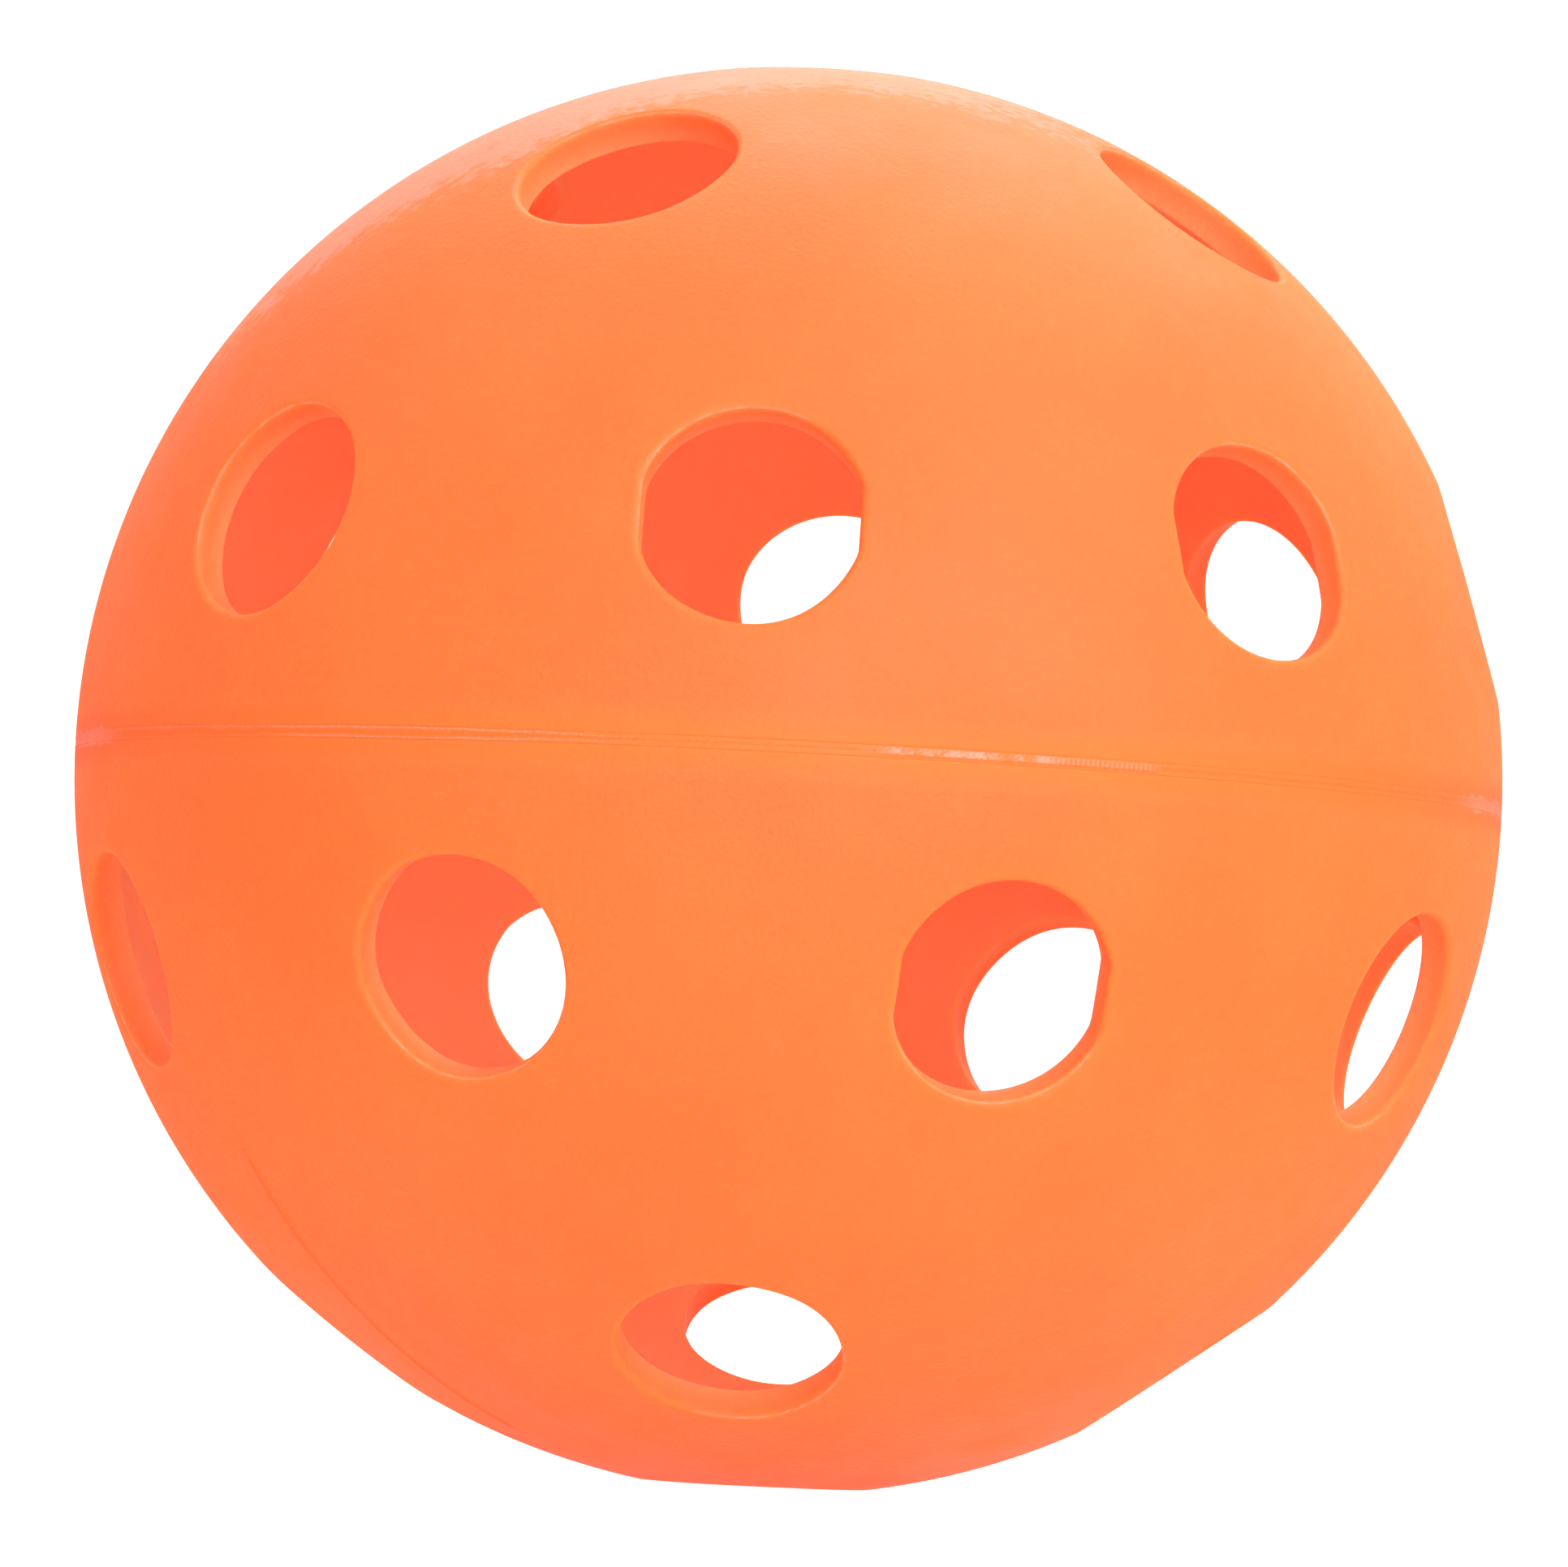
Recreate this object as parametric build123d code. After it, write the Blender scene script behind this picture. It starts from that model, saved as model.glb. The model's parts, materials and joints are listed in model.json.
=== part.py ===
from build123d import *
import os
from math import asin, cos, degrees, radians, sin, sqrt

# Hollow perforated practice golf ball, in millimetres and degrees.
#
# Two identical moulded half shells stand rim to rim and are welded together. The weld fills a
# groove on the outside, where it is trimmed nearly flush, and one on the inside, where it is left.
#
# Frame: the origin is the ball's centre and the XY plane is the weld plane. +Z points at the upper
# pole. Half a turn about X lays one half shell, with all its holes, exactly onto the other.

# Driving dimensions
BALL_DIAMETER = 42.0
WALL = 1.0
HOLE_DIAMETER = 6.35
OUTER_LIP_ROUNDING = 0.18
INNER_LIP_ROUNDING = 0.10

# Hole pattern of one half shell: a hole at the pole, then one row for each further step down
ROW_STEP = 36.0
HIGH_ROW_HOLES = 4
LOW_ROW_HOLES = 8

# Weld: each groove's full width and its depth into the wall, and how far its bead stands proud
OUTER_GROOVE_WIDTH = 0.34
OUTER_GROOVE_DEPTH = 0.28
OUTER_BEAD_PROUD = 0.12
INNER_GROOVE_WIDTH = 0.70
INNER_GROOVE_DEPTH = 0.28
INNER_BEAD_PROUD = 0.35

# Worked out from them
OUTER_RADIUS = BALL_DIAMETER / 2
INNER_RADIUS = OUTER_RADIUS - WALL
MIDDLE_RADIUS = OUTER_RADIUS - WALL / 2
HOLE_RADIUS = HOLE_DIAMETER / 2
HIGH_ROW_LATITUDE = 90.0 - ROW_STEP
LOW_ROW_LATITUDE = 90.0 - 2 * ROW_STEP
# The rows stand a quarter of the low row's spacing to either side of the X axis
ROW_TURN = 360.0 / LOW_ROW_HOLES / 4
# At this azimuth the shell is whole from the rim to the polar hole
UNBROKEN_AZIMUTH = 3 * ROW_TURN


def direction(latitude, azimuth):
    """The unit vector from the ball's centre towards a place on its surface."""
    level = cos(radians(latitude))
    return Vector(
        level * cos(radians(azimuth)),
        level * sin(radians(azimuth)),
        sin(radians(latitude)),
    )


def row(latitude, count, first_azimuth):
    """The directions of a row of equally spaced holes."""
    return [direction(latitude, first_azimuth + number * 360.0 / count) for number in range(count)]


def hole_directions():
    """The directions of all the holes in the upper half shell."""
    pole = direction(90.0, 0.0)
    high_row = row(HIGH_ROW_LATITUDE, HIGH_ROW_HOLES, -ROW_TURN)
    low_row = row(LOW_ROW_LATITUDE, LOW_ROW_HOLES, ROW_TURN)
    return [pole] + high_row + low_row


def on_sphere(radius, height):
    """The point of a sphere's outline at a height, as (distance from the axis, height)."""
    return (sqrt(radius**2 - height**2), height)


def quarter_arc(radius, height):
    """A sphere's outline, from a height above the weld plane up to its pole."""
    start = degrees(asin(height / radius))
    return CenterArc((0, 0), radius, start, 90.0 - start)


def turned(lines):
    """The solid that a closed outline makes in a full turn about Z."""
    outline = Plane.XZ * make_face(lines)
    return revolve(outline.rotate(Axis.Z, UNBROKEN_AZIMUTH), axis=Axis.Z)


def blank_half_shell():
    """The upper half shell before its holes, with the weld chamfers along its rim."""
    outer_edge = on_sphere(OUTER_RADIUS, OUTER_GROOVE_WIDTH / 2)
    inner_edge = on_sphere(INNER_RADIUS, INNER_GROOVE_WIDTH / 2)
    land_outside = (OUTER_RADIUS - OUTER_GROOVE_DEPTH, 0)
    land_inside = (INNER_RADIUS + INNER_GROOVE_DEPTH, 0)
    return turned([
        Line(land_outside, outer_edge),
        quarter_arc(OUTER_RADIUS, OUTER_GROOVE_WIDTH / 2),
        Line((0, OUTER_RADIUS), (0, INNER_RADIUS)),
        quarter_arc(INNER_RADIUS, INNER_GROOVE_WIDTH / 2),
        Line(inner_edge, land_inside),
        Line(land_inside, land_outside),
    ])


def punch(towards):
    """The round cutter for the hole in one direction. Its axis passes through the ball's centre."""
    across_the_wall = Plane(origin=towards * MIDDLE_RADIUS, z_dir=towards)
    return across_the_wall * Cylinder(HOLE_RADIUS, 4 * WALL)


def lips(shell, outer):
    """The rims of the holes, on the outside of the shell or on its inside."""
    hole_walls = shell.faces().filter_by(GeomType.CYLINDER)
    rims = hole_walls.edges().filter_by(GeomType.LINE, reverse=True)
    return [rim for rim in rims if (rim.position_at(0).length > MIDDLE_RADIUS) == outer]


def half_shell():
    """The upper half shell: the blank with its holes, and their lips rounded."""
    shell = blank_half_shell() - [punch(towards) for towards in hole_directions()]
    shell = fillet(lips(shell, outer=True), OUTER_LIP_ROUNDING)
    return fillet(lips(shell, outer=False), INNER_LIP_ROUNDING)


def weld_bead(wall_radius, width, root_radius, crest_radius):
    """A ring that fills a groove from its root to the wall's surface, and stands proud in an arch."""
    upper_edge = on_sphere(wall_radius, width / 2)
    lower_edge = on_sphere(wall_radius, -width / 2)
    return turned([
        Line((root_radius, 0), upper_edge),
        ThreePointArc(upper_edge, (crest_radius, 0), lower_edge),
        Line(lower_edge, (root_radius, 0)),
    ])


def outer_weld_bead():
    """The trimmed bead on the outside of the ball."""
    return weld_bead(
        OUTER_RADIUS,
        OUTER_GROOVE_WIDTH,
        root_radius=OUTER_RADIUS - OUTER_GROOVE_DEPTH,
        crest_radius=OUTER_RADIUS + OUTER_BEAD_PROUD,
    )


def inner_weld_bead():
    """The untrimmed bead on the inside of the ball."""
    return weld_bead(
        INNER_RADIUS,
        INNER_GROOVE_WIDTH,
        root_radius=INNER_RADIUS + INNER_GROOVE_DEPTH,
        crest_radius=INNER_RADIUS - INNER_BEAD_PROUD,
    )


upper = half_shell()
nodes = {
    "upper_half_shell": upper,
    "lower_half_shell": upper.rotate(Axis.X, 180.0),
    "outer_weld_bead": outer_weld_bead(),
    "inner_weld_bead": inner_weld_bead(),
}

os.makedirs("parts", exist_ok=True)
for name, solid in nodes.items():
    export_step(solid, f"parts/{name}.step")
    print(f"{name}: {solid.volume:.1f} mm3")
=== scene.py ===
"""Looks of the hollow perforated practice golf ball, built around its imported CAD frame.

Sizes are in millimetres and are turned into metres as each mesh is made. Every point of a half
shell is worked out as if it were the upper one, and the lower one is then turned half a turn about
X, as the mouldings are. "North" is towards the upper pole and "east" is counter-clockwise from above.
"""

import json
from math import atan2, cos, degrees, pi, radians, sin, sqrt

import bpy
import numpy as np
from mathutils import Matrix, Vector
from mathutils.geometry import delaunay_2d_cdt


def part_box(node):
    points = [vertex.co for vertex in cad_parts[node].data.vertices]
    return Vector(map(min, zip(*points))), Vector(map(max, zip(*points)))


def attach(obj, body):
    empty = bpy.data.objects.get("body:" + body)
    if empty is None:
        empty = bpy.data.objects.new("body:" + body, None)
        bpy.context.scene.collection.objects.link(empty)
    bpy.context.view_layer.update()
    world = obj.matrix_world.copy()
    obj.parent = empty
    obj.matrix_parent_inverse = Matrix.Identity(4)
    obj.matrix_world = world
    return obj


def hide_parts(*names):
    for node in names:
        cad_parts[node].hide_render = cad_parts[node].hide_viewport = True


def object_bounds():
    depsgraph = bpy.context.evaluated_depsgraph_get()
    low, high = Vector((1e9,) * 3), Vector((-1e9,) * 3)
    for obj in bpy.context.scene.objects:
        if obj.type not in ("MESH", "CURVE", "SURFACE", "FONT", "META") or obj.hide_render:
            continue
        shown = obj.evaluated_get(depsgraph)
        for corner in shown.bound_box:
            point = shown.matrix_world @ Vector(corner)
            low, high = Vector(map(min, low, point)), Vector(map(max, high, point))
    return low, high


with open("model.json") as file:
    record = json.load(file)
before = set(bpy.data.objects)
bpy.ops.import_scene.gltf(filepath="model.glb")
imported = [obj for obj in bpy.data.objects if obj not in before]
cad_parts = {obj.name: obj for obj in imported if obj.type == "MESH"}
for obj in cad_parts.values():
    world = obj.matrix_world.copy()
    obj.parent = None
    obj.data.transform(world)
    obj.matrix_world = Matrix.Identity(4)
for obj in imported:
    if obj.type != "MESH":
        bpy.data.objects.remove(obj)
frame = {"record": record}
cad_low, cad_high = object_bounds()

MM = 0.001
SEED = 26

# Taken from the frame
bores = [mount for mount in frame["record"]["mounts"] if mount["kind"] == "bore"]
HOLE_RADIUS = bores[0]["dims"]["r_mm"]
HOLE_AXES = [np.array(bore["axis"], float) for bore in bores] + [np.array([0.0, 0.0, -1.0])]
BALL_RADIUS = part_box("upper_half_shell")[1].x / MM
FLOOR_HEIGHT = cad_low[2]

UP = np.array([0.0, 0.0, 1.0])

# Wall, lips and weld. A lip is the rounding where a hole's wall meets the skin.
WALL = 1.0
INNER_RADIUS = BALL_RADIUS - WALL
OUTER_LIP = 0.20
INNER_LIP = 0.10
OUTER_GROOVE_WIDTH = 0.34
INNER_GROOVE_WIDTH = 0.70
GROOVE_DEPTH = 0.28

# How the holes stray from true circles: a faint waviness, and short flats at the east and west of
# those in the low rows whose turn from the front, in degrees, is in this range
RIM_WAVE = 0.02
FLAT_DEPTH = 0.14
FLATTENED = (-25, 50)

# The fine pale burr that some lips carry, as a share of the most that the material can show. It
# stands on one step of the lip, counted from outside.
BURR = 0.55
BURR_HEIGHT = 0.02
BURR_STEP = 3

# The side of the ball that the camera looks at, as degrees about Z
FRONT = -74.65
FRONT_WAY = np.array([cos(radians(FRONT)), sin(radians(FRONT)), 0.0])
FRONT_LEFT = np.array([sin(radians(FRONT)), -cos(radians(FRONT)), 0.0])

# The raised side of a blank panel runs along a meridian of the lower half. The meridian is given as
# degrees about Z and the span as latitudes, both with that half turned over like its other points.
# Its top and foot are how far each lies to either side of the meridian.
PANEL = 134.2
PANEL_WAY = np.array([cos(radians(PANEL)), sin(radians(PANEL)), 0.0])
PANEL_ACROSS = np.array([-sin(radians(PANEL)), cos(radians(PANEL)), 0.0])
PANEL_SPAN = (32, 70)
PANEL_TOP = 0.05
PANEL_FOOT = 0.16
PANEL_RAISED = 0.03

# Mesh fineness: points round a hole and round the weld, points down a hole's wall, the spacing of
# the skins, and the distances of the extra loops from a hole's edge and from the weld's groove
RIM_POINTS = 112
WELD_POINTS = 720
OUTER_LIP_POINTS = 7
WALL_POINTS = 5
INNER_LIP_POINTS = 5
OUTER_SPACING = 0.34
INNER_SPACING = 0.55
OUTER_BANDS = (0.12, 0.28, 0.50, 0.78)
INNER_BANDS = (0.28, 0.78)
OUTER_WELD_ROWS = (0.0, 0.06, 0.16, 0.34, 0.6)
INNER_WELD_ROWS = (0.0, 0.3)
# Points across each bead's face and round it, and degrees between the points along the panel
OUTER_BEAD_POINTS = (13, 3600)
INNER_BEAD_POINTS = (9, 720)
PANEL_STEP = 0.4


# ---------------------------------------------------------------- points on a sphere

def unit(vectors):
    """Each vector at length 1."""
    return vectors / np.linalg.norm(vectors, axis=-1, keepdims=True)


def is_polar(axis):
    return abs(axis[2]) > 0.999


def in_low_row(axis):
    """Whether a hole is in the row next to the weld, and not in the high row or at the pole."""
    return abs(axis[2]) < 0.5


def east_and_north(axis):
    """Two directions across an axis, seen from outside the ball: right and up."""
    if is_polar(axis):
        return np.array([1.0, 0.0, 0.0]), np.array([0.0, 1.0, 0.0]) * np.sign(axis[2])
    east = unit(np.cross(UP, axis))
    return east, np.cross(axis, east)


def turns(count):
    """Angles once round, evenly spaced."""
    return np.linspace(0.0, 2 * pi, count, endpoint=False)


def loop(axis, radii, heights, count):
    """A closed loop of points round an axis. Each size is one number, or one for each point."""
    east, north = east_and_north(axis)
    angle = turns(count)[:, None]
    across = np.broadcast_to(np.reshape(radii, (-1, 1)), (count, 1))
    along = np.broadcast_to(np.reshape(heights, (-1, 1)), (count, 1))
    return axis * along + across * (np.cos(angle) * east + np.sin(angle) * north)


def window(values, start, end, soft):
    """1 from start to end, falling off smoothly to 0 over the soft length at each end."""
    rise = np.clip((values - start) / soft + 0.5, 0, 1)
    fall = np.clip((end - values) / soft + 0.5, 0, 1)
    return rise**2 * (3 - 2 * rise) * fall**2 * (3 - 2 * fall)


def rough_line(angle, seed, slowest, fastest, count):
    """An uneven line round a circle, between about -1 and 1."""
    draw = np.random.default_rng(seed)
    laps = draw.integers(slowest, fastest, count)
    start = draw.uniform(0, 2 * pi, count)
    return np.sin(np.outer(angle, laps) + start).sum(axis=1) / sqrt(count)


def evenly_scattered(spacing, radius):
    """Directions spread evenly over the upper half of a sphere, on a golden-angle spiral."""
    area_of_each = 0.866 * spacing**2
    count = int(2 * pi * radius**2 / area_of_each)
    height = (np.arange(count) + 0.5) / count
    level = np.sqrt(1 - height**2)
    azimuth = np.arange(count) * pi * (3 - sqrt(5))
    return np.stack([level * np.cos(azimuth), level * np.sin(azimuth), height], axis=1)


def flattened(directions):
    """A map of the upper half onto a disc that keeps circles as circles."""
    return directions[:, :2] / (1 + directions[:, 2:3])


# ---------------------------------------------------------------- half shells

class Body:
    """The points and faces of one piece, gathered loop by loop."""

    def __init__(self):
        self.points = []
        self.pale = []
        self.deep = []
        self.inside = []
        self.faces = []
        self.count = 0

    def add(self, points, pale=0.0, deep=0.0, inside=0.0):
        """Add points and return their numbers. pale, deep and inside are what the material reads."""
        numbers = np.arange(self.count, self.count + len(points))
        self.points.append(points)
        self.pale.append(np.broadcast_to(pale, len(points)))
        self.deep.append(np.broadcast_to(deep, len(points)))
        self.inside.append(np.broadcast_to(inside, len(points)))
        self.count += len(points)
        return numbers

    def bridge(self, first, second):
        """Join two loops of as many points each with a band of quads."""
        following = np.roll(np.arange(len(first)), -1)
        self.faces += np.stack([first, first[following], second[following], second], axis=1).tolist()


def lip_profile(radius):
    """The wall of a hole as (distance from its axis, height) points, from outside to inside."""
    outer_height = sqrt((BALL_RADIUS - OUTER_LIP)**2 - (radius + OUTER_LIP)**2)
    inner_height = sqrt((INNER_RADIUS + INNER_LIP)**2 - (radius + INNER_LIP)**2)
    outer_start = atan2(outer_height, radius + OUTER_LIP)
    inner_end = pi + atan2(inner_height, radius + INNER_LIP)
    outer = [
        (radius + OUTER_LIP * (1 + cos(angle)), outer_height + OUTER_LIP * sin(angle))
        for angle in np.linspace(outer_start, pi, OUTER_LIP_POINTS)
    ]
    wall = [(radius, height) for height in np.linspace(outer_height, inner_height, WALL_POINTS)[1:-1]]
    inner = [
        (radius + INNER_LIP * (1 + cos(angle)), inner_height + INNER_LIP * sin(angle))
        for angle in np.linspace(pi, inner_end, INNER_LIP_POINTS)
    ]
    return outer + wall + inner


def hole_outline(axis, number):
    """How far a hole's edge stands outside its true circle, going round it."""
    angle = turns(RIM_POINTS)
    stray = RIM_WAVE * rough_line(angle, SEED + 10 + number, 2, 7, 4)
    turn = (degrees(atan2(axis[1], axis[0])) - FRONT + 180) % 360 - 180
    if in_low_row(axis) and FLATTENED[0] < turn < FLATTENED[1]:
        to_flats = (HOLE_RADIUS - FLAT_DEPTH) / np.maximum(np.abs(np.cos(angle)), 0.01)
        stray = np.minimum(stray, to_flats - HOLE_RADIUS)
    return stray


def hole_burr(axis, number):
    """How much of the fine burr the lip of a hole carries, going round it: most is poleward."""
    if is_polar(axis):
        return np.zeros(RIM_POINTS)
    angle = np.degrees(turns(RIM_POINTS))
    draw = np.random.default_rng(SEED + 40 + number)
    middle = 90 + draw.uniform(-45, 60)
    reach = draw.uniform(45, 80)
    off = (angle - middle + 180) % 360 - 180
    uneven = 0.75 + 0.35 * rough_line(np.radians(angle), SEED + 70 + number, 6, 40, 8)
    return np.clip(window(off, -reach, reach, 30) * uneven, 0, 1)


def panel_rows():
    """Rows of directions beside the meridian that the panel's side follows."""
    latitude = np.radians(np.arange(*PANEL_SPAN, PANEL_STEP))[:, None]
    middle = np.cos(latitude) * PANEL_WAY + np.sin(latitude) * UP
    offsets = (-PANEL_FOOT, -PANEL_TOP, PANEL_TOP, PANEL_FOOT)
    return [unit(middle + offset / BALL_RADIUS * PANEL_ACROSS) for offset in offsets]


def panel_height(directions):
    """How far up the panel's side each direction is: 1 on its top, 0 off it."""
    across = np.abs(directions @ PANEL_ACROSS) * BALL_RADIUS
    latitude = np.degrees(np.arcsin(directions[:, 2]))
    rise = np.clip((PANEL_FOOT - across) / (PANEL_FOOT - PANEL_TOP), 0, 1)
    ends = window(latitude, PANEL_SPAN[0] + 2, PANEL_SPAN[1] - 2, 4)
    return rise * ends * (directions @ PANEL_WAY > 0)


def skin(shell, axes, outlines, radius, rim, bands, weld_rows, spacing, inside, panel=False):
    """Cover one surface of the shell with triangles. Returns its rim loops and its weld loop.

    rim is the loop at each hole's edge as (distance from the axis, height). bands widen it step by
    step, and weld_rows are the heights of the loops along the weld. panel adds the panel's side.
    """
    rim_angle = atan2(*rim)
    groups, edges = [], []
    for axis, outline in zip(axes, outlines):
        start = sum(len(group) for group in groups)
        edges += [(start + n, start + (n + 1) % RIM_POINTS) for n in range(RIM_POINTS)]
        for step in (0.0,) + bands:
            angle = rim_angle + (step + outline * (1 - step / bands[-1])) / radius
            groups.append(loop(axis, np.sin(angle), np.cos(angle), RIM_POINTS))
    weld_start = sum(len(group) for group in groups)
    edges += [(weld_start + n, weld_start + (n + 1) % WELD_POINTS) for n in range(WELD_POINTS)]
    for height in weld_rows:
        level = height / radius
        groups.append(loop(UP, sqrt(1 - level**2), level, WELD_POINTS))
    for row in panel_rows() if panel else []:
        start = sum(len(group) for group in groups)
        edges += [(start + n, start + n + 1) for n in range(len(row) - 1)]
        groups.append(row)
    spread = evenly_scattered(spacing, radius)
    clear_of_holes = np.cos(rim_angle + (bands[-1] + 0.6 * spacing) / radius)
    keep = spread[:, 2] > (weld_rows[-1] + 0.6 * spacing) / radius
    for axis in axes:
        keep &= spread @ axis < clear_of_holes
    if panel:
        latitude = np.degrees(np.arcsin(spread[:, 2]))
        beside = np.abs(spread @ PANEL_ACROSS) * radius < PANEL_FOOT + 0.5 * spacing
        along = (latitude > PANEL_SPAN[0] - 1) & (latitude < PANEL_SPAN[1] + 1)
        keep &= ~(beside & along & (spread @ PANEL_WAY > 0))
    groups.append(spread[keep])
    directions = np.concatenate(groups)
    flat = [Vector(point) for point in flattened(directions)]
    found, _, triangles, *_ = delaunay_2d_cdt(flat, edges, [], 0, 1e-9)
    assert len(found) == len(flat), "the map has points on top of each other"
    triangles = np.array([triangle for triangle in triangles if len(triangle) == 3])
    rim_starts = [n * RIM_POINTS * (len(bands) + 1) for n in range(len(axes))]
    hole = np.full(len(directions), -1)
    for number, start in enumerate(rim_starts):
        hole[start:start + RIM_POINTS] = number
    corners = hole[triangles]
    over_a_hole = (corners[:, 0] >= 0) & (corners == corners[:, :1]).all(axis=1)
    triangles = triangles[~over_a_hole]
    raised = panel_height(directions) if panel else np.zeros(len(directions))
    points = directions * (radius + PANEL_RAISED * raised[:, None])
    numbers = shell.add(points, deep=0.8 * raised, inside=inside)
    if inside:
        triangles = triangles[:, ::-1]
    shell.faces += numbers[triangles].tolist()
    loops = [numbers[start:start + RIM_POINTS] for start in rim_starts]
    return loops, numbers[weld_start:][:WELD_POINTS]


def half_shell(name, side):
    """One half shell: side is 1 for the upper and -1 for the lower."""
    turn_over = np.array([1.0, side, side])
    axes = [axis * turn_over for axis in HOLE_AXES if axis[2] * side > 0]
    outlines = [
        hole_outline(axis * turn_over, number + 13 * (side < 0)) for number, axis in enumerate(axes)
    ]
    shell = Body()
    profile = lip_profile(HOLE_RADIUS)
    outer_edge = OUTER_GROOVE_WIDTH / 2
    inner_edge = INNER_GROOVE_WIDTH / 2
    outer_rims, outer_weld = skin(
        shell, axes, outlines, BALL_RADIUS, profile[0], OUTER_BANDS,
        [outer_edge + row for row in OUTER_WELD_ROWS], OUTER_SPACING, inside=0.0, panel=side < 0,
    )
    inner_rims, inner_weld = skin(
        shell, axes, outlines, INNER_RADIUS, profile[-1], INNER_BANDS,
        [inner_edge + row for row in INNER_WELD_ROWS], INNER_SPACING, inside=1.0,
    )
    for number, (axis, outline) in enumerate(zip(axes, outlines)):
        burr = hole_burr(axis, number + 13 * (side < 0))
        slope = HOLE_RADIUS / BALL_RADIUS
        previous = outer_rims[number]
        for step, (across, height) in enumerate(profile[1:-1], start=1):
            on_lip = BURR * burr * (step == BURR_STEP)
            heights = height - slope * outline + BURR_HEIGHT * on_lip
            # Down the wall the colour goes over to the lighter inside orange, painted light for light
            # through the thin lips
            ring = shell.add(
                loop(axis, across + outline, heights, RIM_POINTS),
                pale=on_lip, inside=(step / (len(profile) - 1))**3,
            )
            shell.bridge(previous, ring)
            previous = ring
        shell.bridge(previous, inner_rims[number])
    land_outside = shell.add(loop(UP, BALL_RADIUS - GROOVE_DEPTH, 0.0, WELD_POINTS))
    land_inside = shell.add(loop(UP, INNER_RADIUS + GROOVE_DEPTH, 0.0, WELD_POINTS))
    shell.bridge(land_outside, outer_weld)
    shell.bridge(land_inside, land_outside)
    shell.bridge(inner_weld, land_inside)
    points = np.concatenate(shell.points) * turn_over
    piece = make_piece(name, points, shell)
    outside = np.concatenate(shell.inside) == 0
    # Painted sheen, on the outer skin only
    add_attribute(piece, "painted_sheen", painted_sheen_at(points) * outside)
    return piece


# The pale sheen painted high on the left, where the skin is seen at a glancing angle: how near the
# front it comes at each turn from straight up to the left, how far behind it fades out, and how far
# it reaches to either side, all in degrees
PAINTED_SHEEN_TURNS = (0, 28, 42, 60)
PAINTED_SHEEN_NEAREST = (70, 66, 70, 75)
PAINTED_SHEEN_FARTHEST = 108
PAINTED_SHEEN_REACH = (-20, 55)
PAINTED_SHEEN_BY_WELD = 0.26


def painted_sheen_at(points):
    """Where a pale sheen is painted on the skin, as it would catch light at a glancing angle: by the
    weld at the two sides, and high on the left.
    """
    directions = unit(points)
    to_front = np.degrees(np.arccos(np.clip(directions @ FRONT_WAY, -1, 1)))
    to_left = np.degrees(np.arctan2(directions @ FRONT_LEFT, directions[:, 2]))
    near_weld = window(np.abs(points[:, 2]), -1, PAINTED_SHEEN_BY_WELD, 0.12)
    by_weld = near_weld * window(to_front, 68, 120, 6)
    nearest = np.interp(to_left, PAINTED_SHEEN_TURNS, PAINTED_SHEEN_NEAREST)
    near_edge = window(to_front - nearest, 0, 180, 9)
    far_edge = window(to_front, -180, PAINTED_SHEEN_FARTHEST, 50)
    high_left = near_edge * far_edge * window(to_left, *PAINTED_SHEEN_REACH, 30)
    return np.maximum(0.7 * by_weld, high_left)


def make_piece(name, points, body):
    """The Blender object of one piece, with the marks that its material reads."""
    mesh = bpy.data.meshes.new(name)
    mesh.from_pydata((points * MM).tolist(), [], body.faces)
    mesh.shade_smooth()
    mesh.validate()
    piece = bpy.data.objects.new(name, mesh)
    bpy.context.scene.collection.objects.link(piece)
    for mark in ("pale", "deep", "inside"):
        add_attribute(piece, mark, np.concatenate(getattr(body, mark)))
    return piece


def add_attribute(piece, name, values):
    """Store a number at each point, for the material to read."""
    layer = piece.data.attributes.new(name, "FLOAT", "POINT")
    layer.data.foreach_set("value", np.asarray(values, np.float32))


# ---------------------------------------------------------------- weld beads

def weld_bead(name, edge_radius, root_radius, width, counts, face):
    """A ring in the weld's groove. counts is how many points it has across its face and round.

    face(across, angle) gives how far its face stands off the wall, how pale it is and how deep in
    colour, at one line round the bead: across goes from -1 at its lower edge to 1 at its upper one.
    """
    bead = Body()
    section_points, around = counts
    angle = turns(around)
    rings = [bead.add(loop(UP, root_radius, 0.0, around))]
    for across in np.linspace(-1.0, 1.0, section_points):
        height = across * width / 2
        level = sqrt(edge_radius**2 - height**2)
        proud, pale, deep = face(across, angle)
        rings.append(bead.add(loop(UP, level + proud, height, around), pale=pale, deep=deep))
    outward = edge_radius > root_radius
    for first, second in zip(rings, rings[1:] + rings[:1]):
        bead.bridge(*((first, second) if outward else (second, first)))
    return make_piece(name, np.concatenate(bead.points), bead)


# The outer bead's face, against the turn from the front in degrees: half the width of its strip as
# a share of half the bead, where its two ridges are clear or only faint, and where it is torn
STRIP_TURNS = (-90, -68, -58, -42, -30, -13, 5, 9, 29, 45, 60, 75, 90)
STRIP_HALF_WIDTHS = (0.9, 0.9, 0.8, 0.65, 0.9, 0.35, 0.30, 0.60, 0.55, 0.42, 0.25, 0.9, 0.9)
CLEAR_RIDGES = (-42, -14)
FAINT_RIDGES = (-68, -42)
SCRAPED = (6.5, 20.0)
RIBBED = (19.5, 29.0)
RIBS = 880
RIDGE_WIDTH = 0.30
RIDGE_HEIGHT = 0.014
STRIP_DEPTH = 0.008
TEAR_HEIGHT = 0.02
CUT_PLACE = -0.60
CUT_WIDTH = 0.16
CUT_DEPTH = 0.03


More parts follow.
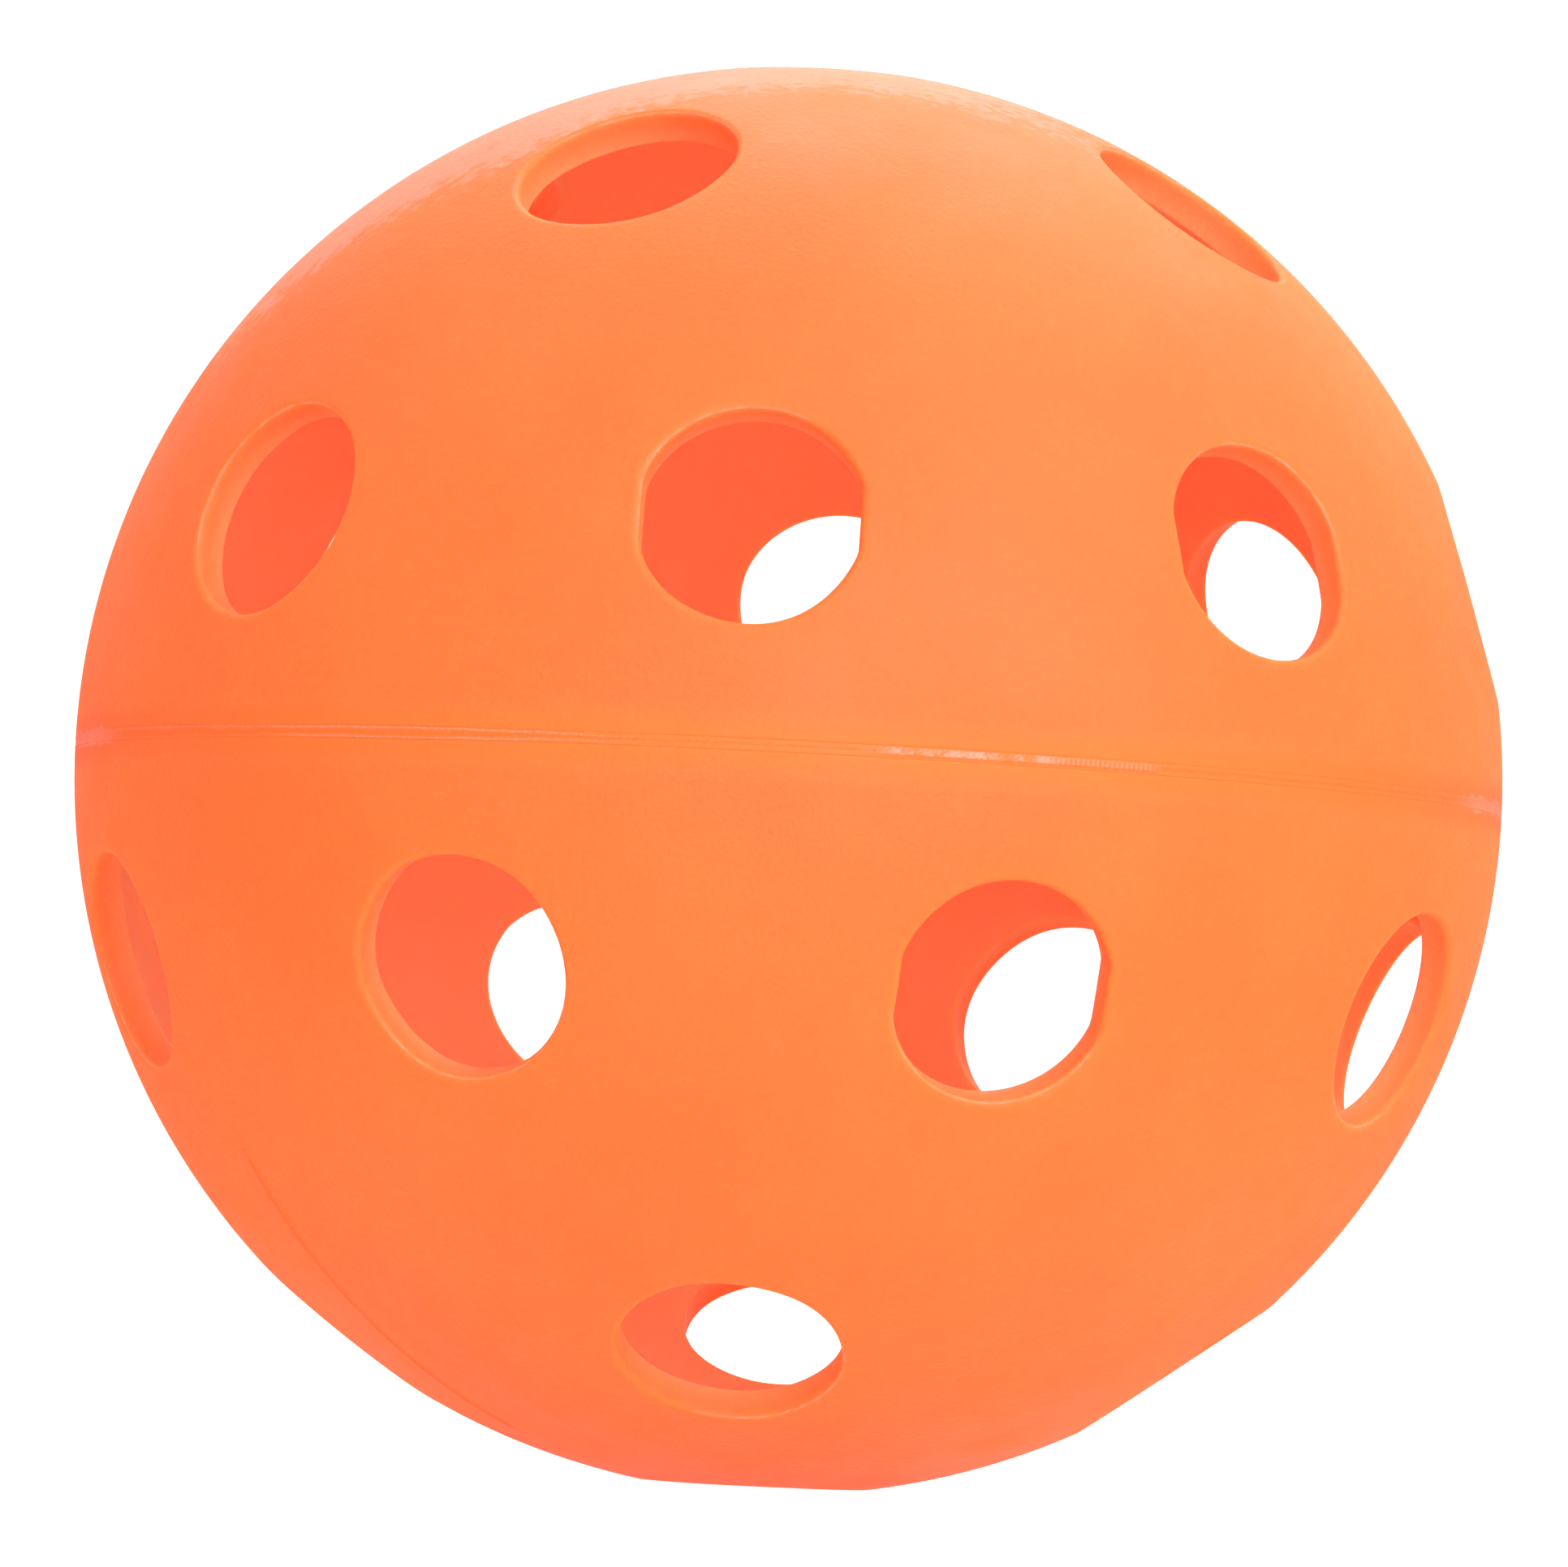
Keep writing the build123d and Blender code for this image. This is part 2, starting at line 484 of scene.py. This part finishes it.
def trimmed_face(across, angle):
    """The outer bead, sliced nearly flush.

    To the left of the front it is a flat strip between two fine ridges, which narrows to a line.
    Right of the front the blade tore it: a scraped stretch, then fine ribs, then a narrow line.
    The back of the weld repeats the front. The strip, the line and the cut are painted deeper, as
    shade in their hollows; the ridges, and the bead's ends at the two sides, are painted pale as
    highlights; the scraped stretch and the ribs are paler partly from scuffing, partly as painted
    highlight.
    """
    turn = (np.degrees(angle) - FRONT + 90) % 180 - 90
    half_width = np.interp(turn, STRIP_TURNS, STRIP_HALF_WIDTHS)
    waver = 0.10 * rough_line(angle, SEED + 1, 20, 120, 12)
    place = across / half_width + waver
    ridges = np.exp(-((np.abs(place) - 1.0) / RIDGE_WIDTH)**2)
    strip = window(place, -0.75, 0.75, 0.5)
    clear = window(turn, *CLEAR_RIDGES, 10) + 0.4 * window(turn, *FAINT_RIDGES, 10) * (place > 0)
    line_number = round(6 * across)
    specks = np.clip(1.6 * rough_line(angle, SEED + 90 + line_number, 150, 1100, 40) - 0.5, 0, 1)
    scraped = window(turn, *SCRAPED, 4.0)
    ribbed = window(turn, *RIBBED, 2.0)
    smears = 0.44 + 0.40 * rough_line(angle, SEED + 3, 40, 220, 30)
    ragged = 0.40 * rough_line(angle, SEED + 90 + line_number, 200, 1000, 40)
    torn = np.clip(smears + ragged, 0, 1)
    ribs = 0.5 + 0.5 * np.cos(RIBS * angle)
    upper = window(across, -0.35, 0.75, 0.45)
    cut = np.exp(-((across - CUT_PLACE) / CUT_WIDTH)**2) * np.maximum(scraped, ribbed)
    marks = upper * (0.9 * scraped * torn + 0.4 * ribbed * ribs)
    ends = window(np.abs(turn), 68, 95, 8)
    # Painted highlight on the ridges and at the ends, where the bead turns away at the two sides; the
    # scraped and ribbed marks are paler partly from scuffing and partly as painted highlight
    ridge_highlight = ridges * ((0.24 + 0.3 * specks) * clear + 0.2 * specks * (1 - scraped))
    end_highlight = 0.5 * ends * (0.5 + 0.5 * specks)
    pale = np.clip(np.maximum(np.maximum(marks, ridge_highlight), end_highlight), 0, 1)
    # Painted shade: deeper in the strip's hollow and in the cut
    deep = np.clip(0.45 * strip * (1 - scraped) * (1 - ends) + cut, 0, 1)
    raised = RIDGE_HEIGHT * ridges * (0.3 + clear) + TEAR_HEIGHT * marks
    return raised - STRIP_DEPTH * strip - CUT_DEPTH * cut, pale, deep


INNER_BEAD_HEIGHT = 0.26


def squeezed_face(across, angle):
    """The inner bead, left as the weld squeezed it out, standing towards the ball's centre."""
    waver = rough_line(angle, SEED + 4, 3, 40, 12)
    return -(1 - across**2) * INNER_BEAD_HEIGHT * (1 + 0.12 * waver) - 0.004, 0.0, 0.0


# ---------------------------------------------------------------- materials

class Graph:
    """A small helper that adds nodes to a material or world and links them."""

    def __init__(self, tree):
        self.tree = tree
        self.tree.nodes.clear()

    def node(self, kind, settings=None, **inputs):
        made = self.tree.nodes.new(kind)
        for key, value in (settings or {}).items():
            setattr(made, key, value)
        for key, value in inputs.items():
            self.feed(made.inputs[key.replace("_", " ")], value)
        return made

    def feed(self, socket, value):
        if isinstance(value, bpy.types.NodeSocket):
            self.tree.links.new(value, socket)
        else:
            socket.default_value = value

    def noise(self, where, size, detail=3.0, roughness=0.5):
        """Noise whose largest features are about a size in millimetres."""
        made = self.node(
            "ShaderNodeTexNoise",
            Vector=where, Scale=1 / (size * MM), Detail=detail, Roughness=roughness,
        )
        return made.outputs["Fac"]

    def ramp(self, value, low, high, bottom=0.0, top=1.0):
        """A smooth step from bottom to top as the value goes from low to high."""
        made = self.node("ShaderNodeMapRange", {"interpolation_type": "SMOOTHSTEP"})
        for number, amount in enumerate((value, low, high, bottom, top)):
            self.feed(made.inputs[number], amount)
        return made.outputs[0]

    def math(self, operation, first, second=0.0):
        made = self.node("ShaderNodeMath", {"operation": operation})
        self.feed(made.inputs[0], first)
        self.feed(made.inputs[1], second)
        return made.outputs[0]

    def blend(self, amount, first, second):
        """A mix of two colours: amount is how much of the second."""
        made = self.node("ShaderNodeMix", {"data_type": "RGBA"})
        self.feed(made.inputs[0], amount)
        self.feed(made.inputs[6], first)
        self.feed(made.inputs[7], second)
        return made.outputs[2]

    def distance(self, first, second):
        made = self.node("ShaderNodeVectorMath", {"operation": "DISTANCE"})
        self.feed(made.inputs[0], first)
        self.feed(made.inputs[1], second)
        return made.outputs["Value"]

    def attribute(self, name):
        return self.node("ShaderNodeAttribute", {"attribute_name": name}).outputs["Fac"]

    def bump(self, height, distance, under=None):
        made = self.node("ShaderNodeBump", Height=height, Distance=distance, Strength=1.0)
        if under is not None:
            self.feed(made.inputs["Normal"], under)
        return made.outputs["Normal"]


ORANGE = (1.0, 0.126, 0.027, 1.0)
DEEP_ORANGE = (0.99, 0.116, 0.024, 1.0)
# A deeper orange for the fine grain and the panel's side, and for painted shade beside the weld and
# in the bead's strip and cut
DARK_GRAIN_AND_SHADE_ORANGE = (1.0, 0.085, 0.008, 1.0)
# A lighter orange for the inner skin, painted light that stands in for light coming through the wall
INSIDE_PAINTED_LIGHT_ORANGE = (1.0, 0.370, 0.180, 1.0)
# Pinkish white: the colour of the painted sheen, and of the pale marks on the bead and the lips
PALE_SHEEN_AND_MARKS = (1.0, 0.33, 0.30, 1.0)

# The most that the painted sheen and the pale marks take of the pale colour
PAINTED_SHEEN_SHARE = 0.27
PALE_SHARE = 0.5

# Sizes and depths of the plastic's features, in millimetres
CLOUDS = 9
SHEEN_PATCHES = 3
UNEVENNESS = 1.3
UNEVEN_DEPTH = 0.02
MOTTLE = 0.45
BUMPS = 0.17
BUMP_DEPTH = 0.03
GRAINS = 0.16

# How far light wanders in the plastic, in millimetres, and how much of that each colour does
SCATTER = 1.7
SCATTER_SHARES = (1.0, 0.30, 0.12)

# Light doesn't scatter from one mesh into the next, so scattering fades out beside the weld. The
# colour there is painted deeper, as shade along the weld's groove, which also makes up for it.
NO_SCATTER = 0.2
FULL_SCATTER = 1.1
BESIDE_WELD_PAINTED_SHADE = 0.42


def satin_colour(graph, place, from_weld):
    """The orange, with faint clouds and grain, the marks that the meshes carry, and painted light: a
    pale sheen, highlights and shade on the weld bead, shade beside the weld and a lighter inside.
    """
    cloud = graph.ramp(graph.noise(place, CLOUDS), 0.35, 0.65)
    grains = graph.ramp(graph.noise(place, GRAINS, 3.0, 0.6), 0.3, 0.7, 0.0, 0.10)
    mottle = graph.ramp(graph.noise(place, MOTTLE, 5.0, 0.6), 0.3, 0.7, -0.4, 0.4)
    painted_sheen = graph.math("ADD", graph.attribute("painted_sheen"), mottle)
    colour = graph.blend(cloud, ORANGE, DEEP_ORANGE)
    colour = graph.blend(grains, colour, DARK_GRAIN_AND_SHADE_ORANGE)
    # Painted shade: darker beside the weld
    colour = graph.blend(graph.ramp(from_weld, 0.0, 1.0, BESIDE_WELD_PAINTED_SHADE, 0.0), colour, DARK_GRAIN_AND_SHADE_ORANGE)
    # Deeper on the panel's raised side, and as painted shade in the bead's strip and cut
    colour = graph.blend(graph.attribute("deep"), colour, DARK_GRAIN_AND_SHADE_ORANGE)
    # Painted sheen: towards pinkish white where the skin would catch a sheen, broken up by the mottle
    colour = graph.blend(graph.ramp(painted_sheen, 0.3, 0.85, 0.0, PAINTED_SHEEN_SHARE), colour, PALE_SHEEN_AND_MARKS)
    colour = graph.blend(graph.math("MULTIPLY", graph.attribute("pale"), PALE_SHARE), colour, PALE_SHEEN_AND_MARKS)
    # Painted light: the inner skin and the holes' walls are lighter
    return graph.blend(graph.attribute("inside"), colour, INSIDE_PAINTED_LIGHT_ORANGE)


def satin_normal(graph, place):
    """A fine grain over a faint unevenness."""
    normal = graph.bump(graph.noise(place, UNEVENNESS), UNEVEN_DEPTH * MM)
    return graph.bump(graph.noise(place, BUMPS, 3.0, 0.6), BUMP_DEPTH * MM, under=normal)


def plastic(name, dull):
    """Soft translucent orange polyethylene with a fine satin grain."""
    material = bpy.data.materials.new(name)
    material.use_nodes = True
    graph = Graph(material.node_tree)
    place = graph.node("ShaderNodeTexCoord").outputs["Object"]
    height = graph.node("ShaderNodeSeparateXYZ", Vector=place).outputs["Z"]
    from_weld = graph.ramp(graph.math("ABSOLUTE", height), NO_SCATTER * MM, FULL_SCATTER * MM)
    patches = graph.noise(place, SHEEN_PATCHES, 4.0)
    shader = graph.node(
        "ShaderNodeBsdfPrincipled",
        Base_Color=satin_colour(graph, place, from_weld),
        Roughness=graph.ramp(patches, 0.3, 0.7, dull - 0.05, dull + 0.07),
        IOR=1.5,
        Specular_IOR_Level=0.16,
        Subsurface_Weight=from_weld,
        Subsurface_Radius=SCATTER_SHARES,
        Subsurface_Scale=SCATTER * MM,
        Normal=satin_normal(graph, place),
    )
    output = graph.node("ShaderNodeOutputMaterial")
    graph.feed(output.inputs["Surface"], shader.outputs["BSDF"])
    return material


# ---------------------------------------------------------------- the ball

def dress(piece, material, slot, *nodes):
    """Give a piece its material, and put it in the place of its CAD nodes."""
    piece.data.materials.append(material)
    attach(piece, "root")
    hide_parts(*nodes)


def make_ball():
    shell_plastic = plastic("ball_shell_plastic", dull=0.50)
    bead_plastic = plastic("weld_bead_plastic", dull=0.45)
    dress(half_shell("upper_shell", 1), shell_plastic, "ball_shell", "upper_half_shell")
    dress(half_shell("lower_shell", -1), shell_plastic, "ball_shell", "lower_half_shell")
    outer = weld_bead(
        "outer_bead", BALL_RADIUS, BALL_RADIUS - GROOVE_DEPTH, OUTER_GROOVE_WIDTH,
        OUTER_BEAD_POINTS, trimmed_face,
    )
    inner = weld_bead(
        "inner_bead", INNER_RADIUS, INNER_RADIUS + GROOVE_DEPTH, INNER_GROOVE_WIDTH,
        INNER_BEAD_POINTS, squeezed_face,
    )
    dress(outer, bead_plastic, "weld_bead", "outer_weld_bead")
    dress(inner, bead_plastic, "weld_bead", "inner_weld_bead")


# ---------------------------------------------------------------- studio

WORLD_ABOVE = 1.0
WORLD_BELOW = 0.20
WORLD_SEEN = 1.2

FLOOR_RADIUS = 3000
FLOOR_POINTS = 96
FLOOR_SHADE = 0.62
FLOOR_SHADE_IN_SHEENS = 0.15
FLOOR_GLOW = 1.0
# The floor in front of the ball lights it from below: how much, and the radii of the full and the
# fading part round a point that stands forward of the ball
UNDERLIGHT = 0.68
UNDERLIGHT_RADII = (20, 50)
UNDERLIGHT_FORWARD = 26

# Each soft box: how far right, up and towards the camera it stands in millimetres, its size, its
# power in watts, and whether it shows in sheens
SOFT_BOXES = {
    "key_light": (420, 420, 300, 520, 2.25, True),
    "front_light": (120, 40, 500, 600, 7.4, True),
    "top_light": (90, 530, -330, 520, 2.3, True),
    "rear_light": (60, 300, -420, 760, 3.3, False),
}

CAMERA_AZIMUTH = radians(FRONT)
CAMERA_ELEVATION = radians(-2.54)
CAMERA_ROLL = radians(2.85)
CAMERA_DISTANCE = 306.18
CAMERA_LENS = 238.5
# How far the camera stands to the right of the line through the ball's centre, and above it
AIM_RIGHT = -0.131
AIM_UP = -0.091


def make_camera():
    """The camera stands a little below the weld's level and looks slightly upward at the ball."""
    level = cos(CAMERA_ELEVATION)
    back = Vector((level * cos(CAMERA_AZIMUTH), level * sin(CAMERA_AZIMUTH), sin(CAMERA_ELEVATION)))
    flat_right = Vector((0.0, 0.0, 1.0)).cross(back).normalized()
    flat_up = back.cross(flat_right)
    right = flat_right * cos(CAMERA_ROLL) + flat_up * sin(CAMERA_ROLL)
    up = back.cross(right)
    place = (back * CAMERA_DISTANCE + right * AIM_RIGHT + up * AIM_UP) * MM
    camera = bpy.data.objects.new("camera", bpy.data.cameras.new("camera"))
    camera.data.lens = CAMERA_LENS
    camera.data.clip_start = 0.01
    bpy.context.scene.collection.objects.link(camera)
    turn = Matrix((right, up, back)).transposed().to_4x4()
    camera.matrix_world = Matrix.Translation(place) @ turn
    bpy.context.scene.camera = camera
    return right, up, back


def soft_light(name, place, size, power, in_sheens):
    """A square soft box at a place in millimetres, facing the ball."""
    light = bpy.data.lights.new(name, "AREA")
    light.size = size * MM
    light.energy = power
    holder = bpy.data.objects.new(name, light)
    holder.location = place * MM
    holder.rotation_euler = place.to_track_quat("Z", "Y").to_euler()
    holder.visible_glossy = in_sheens
    bpy.context.scene.collection.objects.link(holder)


def make_world():
    """A white room: bright above, dimmer below, and plain white where the camera sees it."""
    world = bpy.data.worlds.new("studio")
    world.use_nodes = True
    bpy.context.scene.world = world
    graph = Graph(world.node_tree)
    way = graph.node("ShaderNodeTexCoord").outputs["Generated"]
    height = graph.node("ShaderNodeSeparateXYZ", Vector=way).outputs["Z"]
    lighting = graph.ramp(height, -0.4, 0.9, WORLD_BELOW, WORLD_ABOVE)
    seen = graph.node("ShaderNodeLightPath").outputs["Is Camera Ray"]
    strength = graph.math("MAXIMUM", graph.math("MULTIPLY", seen, WORLD_SEEN), lighting)
    background = graph.node("ShaderNodeBackground", Color=(1.0, 1.0, 1.0, 1.0), Strength=strength)
    output = graph.node("ShaderNodeOutputWorld")
    graph.feed(output.inputs["Surface"], background.outputs["Background"])


def make_floor():
    """A wide pale disc, bright enough to fade into the background."""
    disc = loop(UP, FLOOR_RADIUS * MM, 0.0, FLOOR_POINTS)
    mesh = bpy.data.meshes.new("floor")
    mesh.from_pydata(disc.tolist(), [], [list(range(FLOOR_POINTS))])
    floor = bpy.data.objects.new("floor", mesh)
    floor.location.z = FLOOR_HEIGHT
    bpy.context.scene.collection.objects.link(floor)
    material = bpy.data.materials.new("floor_paper")
    material.use_nodes = True
    graph = Graph(material.node_tree)
    place = graph.node("ShaderNodeTexCoord").outputs["Object"]
    path = graph.node("ShaderNodeLightPath")
    shade = graph.ramp(path.outputs["Is Glossy Ray"], 0.0, 1.0, FLOOR_SHADE, FLOOR_SHADE_IN_SHEENS)
    paper = graph.node("ShaderNodeCombineColor", Red=shade, Green=shade, Blue=shade).outputs[0]
    away = graph.distance(place, tuple(FRONT_WAY * UNDERLIGHT_FORWARD * MM))
    full, end = (radius * MM for radius in UNDERLIGHT_RADII)
    under = graph.ramp(away, full, end, UNDERLIGHT, 0.0)
    glow = graph.math("MULTIPLY", path.outputs["Is Camera Ray"], FLOOR_GLOW)
    shader = graph.node(
        "ShaderNodeBsdfPrincipled",
        Base_Color=paper,
        Roughness=0.9,
        Emission_Color=(1.0, 1.0, 1.0, 1.0),
        Emission_Strength=graph.math("MAXIMUM", glow, under),
    )
    output = graph.node("ShaderNodeOutputMaterial")
    graph.feed(output.inputs["Surface"], shader.outputs["BSDF"])
    mesh.materials.append(material)


def make_studio():
    right, up, back = make_camera()
    make_world()
    make_floor()
    for name, (rightward, upward, forward, size, power, in_sheens) in SOFT_BOXES.items():
        place = right * rightward + up * upward + back * forward
        soft_light(name, place, size, power, in_sheens)
    bpy.context.scene.view_settings.view_transform = "Standard"


make_ball()
make_studio()
